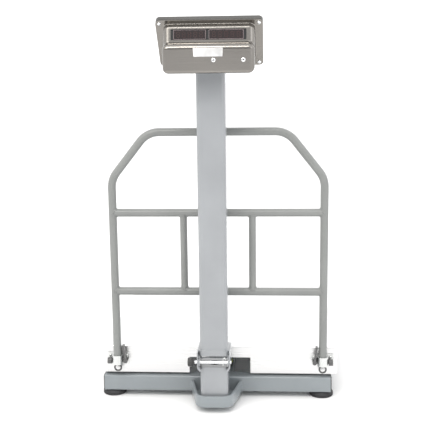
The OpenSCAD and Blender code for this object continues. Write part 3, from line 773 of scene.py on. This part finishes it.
def underside_plane():
    """Point and normal of the head plate's lower face."""
    corners = [vert.co for vert in frame["nodes"]["head_plate"].data.vertices]
    rear = min(corners, key=lambda point: (round(point.y, 4), point.z))
    front = max(corners, key=lambda point: (round(point.y, 4), -point.z))
    run = front - rear
    normal = Vector((0, -run.z, run.y)).normalized()
    return rear, normal


def on_plane(plane, centre, x, y):
    """Where the post's outline meets the plane, with the bead's middle just under it."""
    point, normal = plane
    here = Vector((centre.x + x, centre.y + y, 0))
    rise = (point - here).dot(normal) / normal.z
    return here + Vector((0, 0, rise - 0.4 * MM))


# ---- head ----

# Side view of the dome: distance behind the post's axis, height over the flange's middle and
# corner radius, in millimetres, from the flange's upper edge round to its lower edge. The window's
# two edges divide the side between the first two corners in WINDOW_SHARES.
FLANGE_BACK = 12
UPPER_RIM = 56
LOWER_RIM = 52.7
WINDOW_SIZE = (170, 25)
WINDOW_PLACE = (69, 17)
WINDOW_LEAN = 10
WINDOW_SHARES = (0.138, 0.862)
DOME_CORNERS = ((66, 34, 5), (72, 0, 4), (98.1, -6.5, 11), (92.8, -70.3, 7))
ROOT = 3.0
FLANGE_CORNER = 10

# Label on the dome's rear face: upper and lower edge, half width and the least distance behind the
# post's axis, in the side view's millimetres. Then the two displays and the three dark bands of the
# rear window, each as its middle and width.
LABEL_EDGES = (-12.6, -31.6)
LABEL_HALF = 33
LABEL_BEHIND = 90
REAR_DISPLAYS = ((-42.5, 72), (39.3, 77))
WINDOW_BANDS = ((-82, 6), (-1.6, 6.5), (81.5, 7))
REAR_DIGITS = 5
FRONT_DIGITS = 6
FRONT_PITCH = 22 * MM


def head_axes(shapes):
    """Middle of the flange, its upward slope and its front normal."""
    up = Vector((0, -sin(shapes.tilt), cos(shapes.tilt)))
    front = Vector((0, cos(shapes.tilt), sin(shapes.tilt)))
    return middle("head_gasket") - front * 0.75 * MM, up, front


def dome_profile(shapes, inset=0.0):
    """The dome's side view as points, moved inwards; its ends slide along the flange."""
    slope = Vector((sin(shapes.tilt), cos(shapes.tilt)))
    foot = Vector((FLANGE_BACK, 0))
    corners = [Vector(corner[:2]) for corner in DOME_CORNERS]
    corners = [foot + UPPER_RIM * slope, *corners, foot - LOWER_RIM * slope]
    inward = []
    for one, two in zip(corners, corners[1:]):
        run = (two - one).normalized()
        inward.append(Vector((run.y, -run.x)))
    moved = [corners[0] - slope * inset / inward[0].dot(-slope)]
    for corner, before, after in zip(corners[1:], inward, inward[1:]):
        moved.append(corner + inset * (before + after) / (1 + before.dot(after)))
    moved.append(corners[-1] + slope * inset / inward[-1].dot(slope))
    radii = [max(radius - inset, 1.2) for _, _, radius in DOME_CORNERS]
    radii[1] = DOME_CORNERS[1][2] + inset
    rounded = [(*corner, radius) for corner, radius in zip(moved[1:-1], radii)]
    edges = [(*moved[1].lerp(moved[2], share), 0) for share in WINDOW_SHARES]
    path = [(*moved[0], 0), rounded[0], *edges, *rounded[1:], (*moved[-1], 0)]
    return fillet(path), [Vector(edge[:2]) for edge in edges]


def to_world(shapes, x, point):
    """World place of a side-view point at x."""
    flange, _, _ = head_axes(shapes)
    axis_y = flange.y + FLANGE_BACK * MM
    return Vector((x * MM, axis_y - point[0] * MM, flange.z + point[1] * MM))


def build_rear_shell(shapes):
    """The pressed shell: dome, root and flange in one sheet, and the window's lip."""
    profile, edges = dome_profile(shapes)
    slope = Vector((sin(shapes.tilt), cos(shapes.tilt)))
    back = Vector((cos(shapes.tilt), -sin(shapes.tilt)))
    sheet = shapes.sheet / MM
    half = shapes.dome_half / MM
    radius = shapes.dome_round / MM
    count = len(profile)
    rows = [min(range(count), key=lambda i: (profile[i] - edge).length) for edge in edges]
    arcs = [(half - radius + radius * sin(radians(a)), radians(a)) for a in (90, 75, 60, 45, 30, 15, 0)]
    right = arcs + [(x, 0.0) for x in (WINDOW_SIZE[0] / 2, 60, 40, 20, 0)]
    sections = [(-x, a) for x, a in right] + [(x, a) for x, a in reversed(right[:-1])]

    bm = bmesh.new()
    grid = []
    rims = {1: [], -1: []}
    for x, angle in sections:
        ring, _ = dome_profile(shapes, radius * (1 - cos(angle)))
        for side, end, beside in ((1, 0, 1), (-1, -1, -2)):
            way = (ring[beside] - ring[end]).normalized()
            foot = ring[end] + way * sheet / way.dot(back)
            ring[end] = foot + way * ROOT / way.dot(back)
            rims[side].append((x, angle, side, foot))
        grid.append([bm.verts.new(to_world(shapes, x, point)) for point in ring])
    for (x1, _), (x2, _), one, two in zip(sections, sections[1:], grid, grid[1:]):
        for i in range(count - 1):
            edge_x = max(abs(x1), abs(x2))
            if not (edge_x <= WINDOW_SIZE[0] / 2 and rows[0] <= i < rows[1]):
                bm.faces.new((one[i], one[i + 1], two[i + 1], two[i]))
    bm.faces.new(grid[0])
    bm.faces.new(grid[-1])

    rim = rims[1] + rims[-1][::-1]
    starts = [column[0] for column in grid] + [column[-1] for column in reversed(grid)]
    wide, tall = (size / MM - FLANGE_CORNER for size in shapes.flange_half)
    loops = [starts]
    for share in (0.34, 0.67, 1.0):
        loop = []
        for (x, angle, side, foot), start in zip(rim, starts):
            across = (1 if x > 0 else -1) * ROOT * sin(angle)
            end = to_world(shapes, x + across, foot + side * slope * ROOT * cos(angle))
            knee = to_world(shapes, x, foot)
            loop.append(bm.verts.new(
                (1 - share) ** 2 * start.co + 2 * share * (1 - share) * knee + share ** 2 * end))
        loops.append(loop)
    loop = []
    for x, angle, side, _ in rim:
        at_end = abs(x) >= half - radius - 0.01
        flange_x = (1 if x > 0 else -1) * (wide + FLANGE_CORNER * sin(angle)) if at_end else x
        flange_y = side * (tall + FLANGE_CORNER * cos(angle))
        loop.append(bm.verts.new(
            to_world(shapes, flange_x, Vector((FLANGE_BACK, 0)) + slope * flange_y + back * sheet)))
    loops.append(loop)
    for one, two in zip(loops, loops[1:]):
        for i in range(len(one)):
            k = (i + 1) % len(one)
            bm.faces.new((one[i], one[k], two[k], two[i]))
    bmesh.ops.recalc_face_normals(bm, faces=bm.faces[:])
    bm.faces.ensure_lookup_table()
    rear = max(bm.faces, key=lambda face: -face.calc_center_median().y)
    if rear.normal.y > 0:
        bmesh.ops.reverse_faces(bm, faces=bm.faces[:])
    piece("head_rear_shell_fine", bm, "head_steel", "post", replaced=["head_rear_shell"],
          smooth=50, thickness=shapes.sheet)

    bm = bmesh.new()
    place = window_frame(shapes)
    lip = 3.0
    drop = -(WINDOW_SIZE[1] / 2 + lip / 2 + 2) * MM
    slab(bm, place @ Matrix.Translation((0, drop, 0)),
         rounded_box((WINDOW_SIZE[0] + 8) * MM, lip * MM, 1.4 * MM), -0.8 * MM, 2.6 * MM)
    round_edges(bm, 0.7 * MM, 3)
    outer = rounded_box((WINDOW_SIZE[0] + 3) * MM, (WINDOW_SIZE[1] + 3) * MM, 3 * MM)
    inner = rounded_box((WINDOW_SIZE[0] - 1) * MM, (WINDOW_SIZE[1] - 1) * MM, 2 * MM)
    ring_plate(bm, place, outer, inner, -1.4 * MM, 0.5 * MM)
    piece("window_lip", bm, "head_steel", "post")


def window_frame(shapes):
    """Frame on the rear window's opening: +Z to the rear, +Y up."""
    centre = to_world(shapes, 0, WINDOW_PLACE)
    lean = radians(WINDOW_LEAN)
    out = Vector((0, -cos(lean), sin(lean)))
    up = Vector((0, sin(lean), cos(lean)))
    across = up.cross(out)
    place = Matrix((across, up, out)).transposed().to_4x4()
    place.translation = centre
    return place


def flange_frame(shapes):
    """Frame on the flange: +Z out of the front panel, +Y up its slope."""
    flange, up, front = head_axes(shapes)
    place = Matrix((up.cross(front), up, front)).transposed().to_4x4()
    place.translation = flange
    return place


def crossing(profile, level):
    """Where the dome's rear face passes a height."""
    return next(a.lerp(b, (level - a.y) / (b.y - a.y)) for a, b in zip(profile, profile[1:])
                if a.y > level >= b.y and a.x > LABEL_BEHIND)


def build_head_fittings(shapes):
    """The head's screws, gasket and blank label."""
    _, _, front = head_axes(shapes)
    bm = bmesh.new()
    for point in solid_centres("flange_screws", -front):
        screw_head(bm, point + front * 2.2 * MM, -front, 4.4 * MM, 2.3 * MM)
    piece("flange_screws_fine", bm, "chrome", "post", replaced=["flange_screws"], smooth=35)
    bm = bmesh.new()
    rear = Vector((0, -1, 0.083)).normalized()
    for point in solid_centres("shell_screws", (0, -1, 0)):
        screw_head(bm, point - rear * 2.6 * MM, rear, 5.2 * MM, 2.9 * MM)
    piece("shell_screws_fine", bm, "chrome", "post", replaced=["shell_screws"], smooth=35)
    finer("head_gasket", 0.3 * MM)

    profile, _ = dome_profile(shapes)
    top, low = (crossing(profile, level) for level in LABEL_EDGES)
    strip = [top] + [point for point in profile if point.x > LABEL_BEHIND and top.y > point.y > low.y] + [low]
    bm = bmesh.new()
    rings = []
    for lift in (0.02, 0.3):
        left, right = [], []
        for i, point in enumerate(strip):
            run = strip[min(i + 1, len(strip) - 1)] - strip[max(i - 1, 0)]
            out = Vector((-run.y, run.x)).normalized() * lift
            trim = 1.0 if i in (0, len(strip) - 1) else 0.0
            left.append(to_world(shapes, trim - LABEL_HALF, point + out))
            right.append(to_world(shapes, LABEL_HALF - trim, point + out))
        rings.append([bm.verts.new(place) for place in left + right[::-1]])
    rows = len(strip)
    join_rings(bm, rings)
    for ring in rings:
        for i in range(rows - 1):
            bm.faces.new((ring[i], ring[i + 1], ring[2 * rows - 2 - i], ring[2 * rows - 1 - i]))
    piece("blank_label", bm, "label_white", "post")


def digit_bars(bm, place, height, width, stroke, lift):
    """The seven bars of one figure."""
    gap = 0.35 * MM
    long = height / 2 - stroke / 2 - gap
    wide = width - stroke - 2 * gap
    bars = [(0, y, wide, True) for y in (-height / 2 + stroke / 2, 0, height / 2 - stroke / 2)]
    bars += [(x * (width / 2 - stroke / 2), y * height / 4, long, False) for x in (-1, 1) for y in (-1, 1)]
    for x, y, length, flat in bars:
        tip = stroke / 2
        outline = [(-length / 2, 0), (-length / 2 + tip, tip), (length / 2 - tip, tip), (length / 2, 0),
                   (length / 2 - tip, -tip), (-length / 2 + tip, -tip)]
        if not flat:
            outline = [(-b, a) for a, b in outline]
        slab(bm, place @ Matrix.Translation((x, y, 0)), outline, 0, lift)


def build_rear_display(shapes):
    """The rear window with its bands, and the outlines and unlit figures on it."""
    finer("rear_window", 0.4 * MM)
    finer("rear_displays", 0.4 * MM)
    place = window_frame(shapes)
    inverse = place.inverted()
    face = max((inverse @ vert.co).z for vert in frame["nodes"]["rear_window"].data.vertices)
    bezel, digits, bands = bmesh.new(), bmesh.new(), bmesh.new()
    for x, width in REAR_DISPLAYS:
        spot = place @ Matrix.Translation((x * MM, 0.4 * MM, face))
        ring_plate(bezel, spot, rounded_box(width * MM, 21 * MM, 1 * MM),
                   rounded_box((width - 1.3) * MM, 19.7 * MM, 0.6 * MM), 0, 0.15 * MM)
        for k in range(REAR_DIGITS):
            shift = (k - (REAR_DIGITS - 1) / 2) * (width - 8) / REAR_DIGITS
            figure = spot @ Matrix.Translation((shift * MM, 0, 0))
            digit_bars(digits, figure, 13 * MM, 8 * MM, 1.5 * MM, 0.1 * MM)
    for x, width in WINDOW_BANDS:
        outline = rounded_box(width * MM, 24.6 * MM, 0.4 * MM)
        slab(bands, place @ Matrix.Translation((x * MM, 0, face)), outline, 0, 0.12 * MM)
    piece("display_outlines", bezel, "outline_grey", "post")
    piece("rear_figures", digits, "segment_red", "post")
    piece("window_bands", bands, "segment_grey", "post")


def build_head_front(shapes):
    """The tray with its window, keys and printed sheet, and what is inside it."""
    place = flange_frame(shapes)
    inverse = place.inverted()
    depth = max((inverse @ vert.co).z for vert in frame["nodes"]["head_front_tray"].data.vertices)
    half_w, half_l = shapes.flange_half

    def front_rim(edge):
        point = inverse @ ((edge.verts[0].co + edge.verts[1].co) / 2)
        outer = max(abs(point.x) - half_w + 5 * MM, abs(point.y) - half_l + 5 * MM) > 0
        ends = [inverse @ vert.co for vert in edge.verts]
        return outer and min(end.z for end in ends) > depth - 0.05 * MM

    # The tray's darker steel is painted shade for the dark band round its wall.
    finer("head_front_tray", 0.35 * MM, 2.6 * MM, front_rim, "tray_steel")
    finer("front_window", 0.3 * MM)
    finer("front_display", 0.3 * MM)
    for key in KEYS:
        finer("key_" + key, 1.1 * MM)
    finer("circuit_board", 0.2 * MM)
    finer("battery", 1.5 * MM)

    bm = bmesh.new()
    window = inverse @ middle("front_window")
    spot = place @ Matrix.Translation((window.x, window.y, window.z + 1.0 * MM))
    for k in range(FRONT_DIGITS):
        shift = (k - (FRONT_DIGITS - 1) / 2) * FRONT_PITCH
        digit_bars(bm, spot @ Matrix.Translation((shift, 0, 0)), 25 * MM, 14 * MM, 2.6 * MM, 0.12 * MM)
    piece("front_figures", bm, "segment_grey", "post")
    bm = bmesh.new()
    outer = rounded_box(2 * half_w - 26 * MM, 2 * half_l - 14 * MM, 5 * MM)
    slab_place = place @ Matrix.Translation((0, 0, depth))
    front_panel(bm, slab_place, outer, window, inverse)
    piece("front_panel_sheet", bm, "panel_grey", "post")


def front_panel(bm, place, outer, window, inverse):
    """A thin printed sheet over the tray, open round the window and the keys."""
    low, high = 0.02 * MM, 0.3 * MM
    xs = [point[0] for point in outer]
    ys = [point[1] for point in outer]
    left, right, bottom, top = min(xs), max(xs), min(ys), max(ys)
    keys = sorted((inverse @ middle("key_" + key) for key in KEYS),
                  key=lambda point: point.x)
    key_half = (13.6 * MM, 8.6 * MM)
    win_half = (76 * MM, 20 * MM)
    openings = []
    for point, half in [(window, win_half)] + [(key, key_half) for key in keys]:
        openings.append((point.x - half[0], point.x + half[0], point.y - half[1], point.y + half[1]))
    cuts_x = sorted({left, right, *(value for box in openings for value in box[:2])})
    cuts_y = sorted({bottom, top, *(value for box in openings for value in box[2:])})
    for x1, x2 in zip(cuts_x, cuts_x[1:]):
        for y1, y2 in zip(cuts_y, cuts_y[1:]):
            cx, cy = (x1 + x2) / 2, (y1 + y2) / 2
            if any(a < cx < b and c < cy < d for a, b, c, d in openings):
                continue
            for z in (low, high):
                bm.faces.new([bm.verts.new(place @ Vector((x, y, z)))
                              for x, y in ((x1, y1), (x2, y1), (x2, y2), (x1, y2))])
    bmesh.ops.remove_doubles(bm, verts=bm.verts[:], dist=0.001 * MM)
    borders = [edge for edge in bm.edges if len(edge.link_faces) == 1]
    pairs = {}
    inverse_place = place.inverted()
    for edge in borders:
        ends = [inverse_place @ vert.co for vert in edge.verts]
        name = tuple(sorted((round(end.x, 6), round(end.y, 6)) for end in ends))
        pairs.setdefault(name, []).append(edge)
    for one, two in pairs.values():
        bmesh.ops.bridge_loops(bm, edges=[one, two])


# ---- stage ----

def soft_light(name, place, target, size, power, colour):
    """A rectangular light that faces its target."""
    lamp = bpy.data.lights.new(name, "AREA")
    lamp.shape = "RECTANGLE"
    lamp.size, lamp.size_y = size
    lamp.energy = power
    lamp.color = colour
    thing = bpy.data.objects.new(name, lamp)
    thing.location = place
    thing.rotation_euler = (Vector(target) - Vector(place)).to_track_quat("-Z", "Y").to_euler()
    bpy.context.scene.collection.objects.link(thing)


def build_floor():
    """A wide white floor."""
    side = 40.0
    bm = bmesh.new()
    bm.faces.new([bm.verts.new((x * side, y * side, 0)) for x, y in ((-1, -1), (1, -1), (1, 1), (-1, 1))])
    mesh = bpy.data.meshes.new("studio_floor")
    bm.to_mesh(mesh)
    bm.free()
    floor = bpy.data.objects.new("studio_floor", mesh)
    bpy.context.scene.collection.objects.link(floor)
    material, tree, shader = new_finish("floor_white", (0.9, 0.9, 0.9), 0.8)
    vary_colour(tree, shader, grain(tree, 1.2, detail=2), (0.89, 0.89, 0.89), (0.91, 0.91, 0.91))
    mesh.materials.append(material)


def build_room(strength):
    """An even room: dark behind the camera, white in front of it and overhead."""
    world = bpy.data.worlds.new("studio_room")
    world.use_nodes = True
    room = world.node_tree
    background = room.nodes["Background"]
    background.inputs["Strength"].default_value = strength
    coords = room.nodes.new("ShaderNodeTexCoord")
    split = room.nodes.new("ShaderNodeSeparateXYZ")
    ahead = room.nodes.new("ShaderNodeMapRange")
    ahead.inputs["From Min"].default_value = -1
    above = room.nodes.new("ShaderNodeMapRange")
    above.inputs["From Min"].default_value = 0.12
    above.inputs["From Max"].default_value = 0.7
    both = room.nodes.new("ShaderNodeMath")
    ramp = room.nodes.new("ShaderNodeValToRGB")
    ramp.color_ramp.elements[0].color = (0.1, 0.1, 0.105, 1)
    ramp.color_ramp.elements[1].color = (1.0, 1.0, 1.0, 1)
    ramp.color_ramp.elements[1].position = 0.62
    room.links.new(coords.outputs["Generated"], split.inputs["Vector"])
    room.links.new(split.outputs["Y"], ahead.inputs["Value"])
    room.links.new(split.outputs["Z"], above.inputs["Value"])
    room.links.new(ahead.outputs["Result"], both.inputs[0])
    room.links.new(above.outputs["Result"], both.inputs[1])
    room.links.new(both.outputs["Value"], ramp.inputs["Fac"])
    room.links.new(ramp.outputs["Color"], background.inputs["Color"])
    bpy.context.scene.world = world


def build_stage(stage):
    """The camera, the floor, the room and the lights."""
    scene = bpy.context.scene
    scene.view_settings.view_transform = "Standard"
    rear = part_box("rear_beam")[0][1]
    camera = bpy.data.objects.new("studio_camera", bpy.data.cameras.new("studio_camera"))
    camera.data.lens = stage.lens
    camera.data.sensor_width = 36
    camera.data.dof.use_dof = False
    pitch, roll, yaw = stage.turn
    place = Matrix.Translation((stage.camera_side, rear - stage.camera_back, stage.camera_height))
    camera.matrix_world = (place @ Matrix.Rotation(yaw, 4, "Z") @ Matrix.Rotation(pi / 2 - pitch, 4, "X")
                           @ Matrix.Rotation(roll, 4, "Z"))
    scene.collection.objects.link(camera)
    scene.camera = camera

    build_floor()
    build_room(stage.sky)
    centre = (0, 0, 0.5)
    over_head = (0, -0.2, 0.9)
    for name, place, target, size, power, colour in (
            ("key_light", (-1.7, -2.6, 2.6), centre, (1.8, 1.8), stage.key, (1.0, 0.97, 0.92)),
            ("strip_light", (-0.3, -1.7, 2.5), over_head, (1.8, 0.4), stage.strip, (1.0, 0.97, 0.93)),
            ("fill_light", (2.4, -1.8, 1.5), centre, (1.6, 1.8), stage.fill, (0.97, 0.98, 1.0)),
            ("back_light", (0.6, 2.8, 2.4), centre, (2.4, 1.4), stage.fill, (1.0, 1.0, 1.0))):
        soft_light(name, place, target, size, power, colour)


# ---- operators ----

class ScalePieceOperator:
    """What the piece operators share."""

    bl_options = {"REGISTER", "UNDO"}

    def execute(self, context):
        self.build(context.scene.scale_shapes)
        return {"FINISHED"}


class SCALE_OT_base(ScalePieceOperator, bpy.types.Operator):
    """Builds the beams, the spine, the nose bracket and their welds"""
    bl_idname = "scale.base"
    bl_label = "Base"
    build = staticmethod(build_base)


class SCALE_OT_feet(ScalePieceOperator, bpy.types.Operator):
    """Builds the four rubber feet and their studs"""
    bl_idname = "scale.feet"
    bl_label = "Feet"
    build = staticmethod(build_feet)


class SCALE_OT_hinge(ScalePieceOperator, bpy.types.Operator):
    """Builds the post's fold: fork, shoe, rod, split pin and knob"""
    bl_idname = "scale.hinge"
    bl_label = "Fold hinge"
    build = staticmethod(build_hinge)


class SCALE_OT_weighing(ScalePieceOperator, bpy.types.Operator):
    """Builds the load cell and the frame that it carries"""
    bl_idname = "scale.weighing"
    bl_label = "Weighing parts"
    build = staticmethod(build_weighing_parts)


class SCALE_OT_platter(ScalePieceOperator, bpy.types.Operator):
    """Builds the folded platter"""
    bl_idname = "scale.platter"
    bl_label = "Platter"
    build = staticmethod(build_platter)


class SCALE_OT_clamps(ScalePieceOperator, bpy.types.Operator):
    """Builds the rail's sockets, clamp bolts, levers and eye bolts"""
    bl_idname = "scale.clamps"
    bl_label = "Rail clamps"
    build = staticmethod(build_clamps)


class SCALE_OT_rail(ScalePieceOperator, bpy.types.Operator):
    """Builds the guard rail and its welds"""
    bl_idname = "scale.rail"
    bl_label = "Guard rail"
    build = staticmethod(build_rail)


class SCALE_OT_post(ScalePieceOperator, bpy.types.Operator):
    """Builds the post, the plate under the head and the cable in the post"""
    bl_idname = "scale.post"
    bl_label = "Post"
    build = staticmethod(build_post)


class SCALE_OT_rear_shell(ScalePieceOperator, bpy.types.Operator):
    """Builds the head's pressed rear shell and the lip round its window"""
    bl_idname = "scale.rear_shell"
    bl_label = "Rear shell"
    build = staticmethod(build_rear_shell)


class SCALE_OT_head_fittings(ScalePieceOperator, bpy.types.Operator):
    """Builds the head's screws, gasket and blank label"""
    bl_idname = "scale.head_fittings"
    bl_label = "Head fittings"
    build = staticmethod(build_head_fittings)


class SCALE_OT_rear_display(ScalePieceOperator, bpy.types.Operator):
    """Builds the rear window, its printed bands and the displays behind it"""
    bl_idname = "scale.rear_display"
    bl_label = "Rear display"
    build = staticmethod(build_rear_display)


class SCALE_OT_head_front(ScalePieceOperator, bpy.types.Operator):
    """Builds the front tray with its window, keys, board and battery"""
    bl_idname = "scale.head_front"
    bl_label = "Head front"
    build = staticmethod(build_head_front)


class SCALE_OT_stage(bpy.types.Operator):
    """Sets the floor, the lights and the camera"""
    bl_idname = "scale.stage"
    bl_label = "Stage"
    bl_options = {"REGISTER", "UNDO"}

    def execute(self, context):
        build_stage(context.scene.scale_stage)
        return {"FINISHED"}


PIECE_OPERATORS = (
    SCALE_OT_base, SCALE_OT_feet, SCALE_OT_hinge, SCALE_OT_weighing, SCALE_OT_platter, SCALE_OT_clamps,
    SCALE_OT_rail, SCALE_OT_post, SCALE_OT_rear_shell, SCALE_OT_head_fittings, SCALE_OT_rear_display,
    SCALE_OT_head_front, SCALE_OT_stage)


class SCALE_PT_dresser(bpy.types.Panel):
    """Lists the pieces and their sizes"""
    bl_idname = "SCALE_PT_dresser"
    bl_label = "Weighing Scale"
    bl_space_type = "VIEW_3D"
    bl_region_type = "UI"
    bl_category = "Scale"

    def draw(self, context):
        layout = self.layout
        for operator in PIECE_OPERATORS:
            layout.operator(operator.bl_idname)
        for group in (context.scene.scale_shapes, context.scene.scale_finishes, context.scene.scale_stage):
            box = layout.box()
            for name in group.__annotations__:
                box.prop(group, name)


CLASSES = (ScaleShapes, ScaleFinishes, ScaleStage, *PIECE_OPERATORS, SCALE_PT_dresser)


def register():
    for entry in CLASSES:
        bpy.utils.register_class(entry)
    bpy.types.Scene.scale_shapes = PointerProperty(type=ScaleShapes)
    bpy.types.Scene.scale_finishes = PointerProperty(type=ScaleFinishes)
    bpy.types.Scene.scale_stage = PointerProperty(type=ScaleStage)


def unregister():
    del bpy.types.Scene.scale_stage
    del bpy.types.Scene.scale_finishes
    del bpy.types.Scene.scale_shapes
    for entry in reversed(CLASSES):
        bpy.utils.unregister_class(entry)


def main():
    register()
    for operator in PIECE_OPERATORS:
        group, name = operator.bl_idname.split(".")
        getattr(getattr(bpy.ops, group), name)()


if __name__ == "__main__":
    main()
